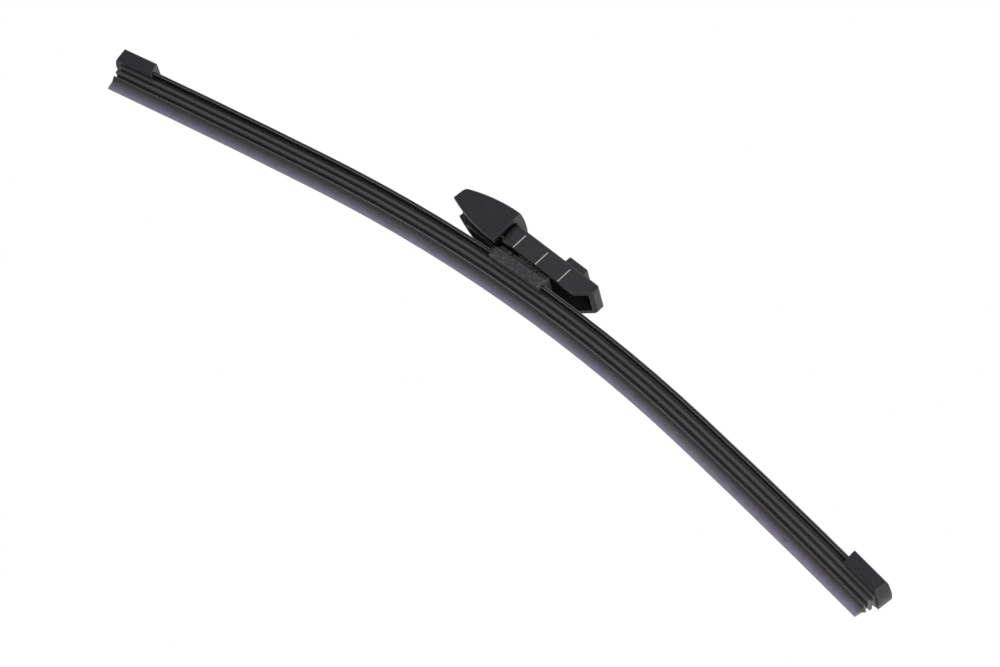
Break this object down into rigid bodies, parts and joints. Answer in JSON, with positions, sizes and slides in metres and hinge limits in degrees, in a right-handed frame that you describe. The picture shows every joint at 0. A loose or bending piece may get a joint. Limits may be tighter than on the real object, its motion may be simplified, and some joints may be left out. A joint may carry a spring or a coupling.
{
  "type": "rear_flat_wiper_blade_with_button_connector",
  "caption": "Rear window flat wiper blade: bent squeegee rubber on two steel rails, plastic end caps, clamp bracket and a rocking moulded connector with push-button tongue and hood.",
  "frame": {"origin": "middle of the cross pin that the blade rocks on", "axes": "+X along the connector's tongue, the way the wiper arm leaves; +Y across the blade; +Z away from the glass"},
  "size_m": [0.3319, 0.0164, 0.0499],
  "materials": {
    "squeegee_rubber": "matt",
    "rail_steel": "semi-gloss",
    "cap_plastic": "matt",
    "bracket_plastic": "matt",
    "pin_steel": "satin",
    "connector_plastic": "matt",
    "hood_plastic": "matt"
  },
  "bodies": {
    "connector": {"connector_body": "connector_plastic", "connector_hood": "hood_plastic"},
    "blade": {"wiper_rubber": "squeegee_rubber", "spring_rail_front": "rail_steel", "spring_rail_rear": "rail_steel", "end_cap_left": "cap_plastic", "end_cap_right": "cap_plastic", "base_bracket": "bracket_plastic", "pivot_pin": "pin_steel"},
    "release_tab": {"release_button": "connector_plastic"}
  },
  "joints": [
    {"name": "blade_pivot", "type": "hinge", "parent": "connector", "child": "blade", "pos_m": [0, 0, 0], "axis": [0, 1, 0], "range_deg": [-5.5, 10.5]},
    {"name": "release_tab_bend", "type": "hinge", "parent": "connector", "child": "release_tab", "pos_m": [0.0055, 0, 0.00355], "axis": [0, 1, 0], "range_deg": [0, 12], "stiffness_Nm_per_rad": 0.2}
  ]
}
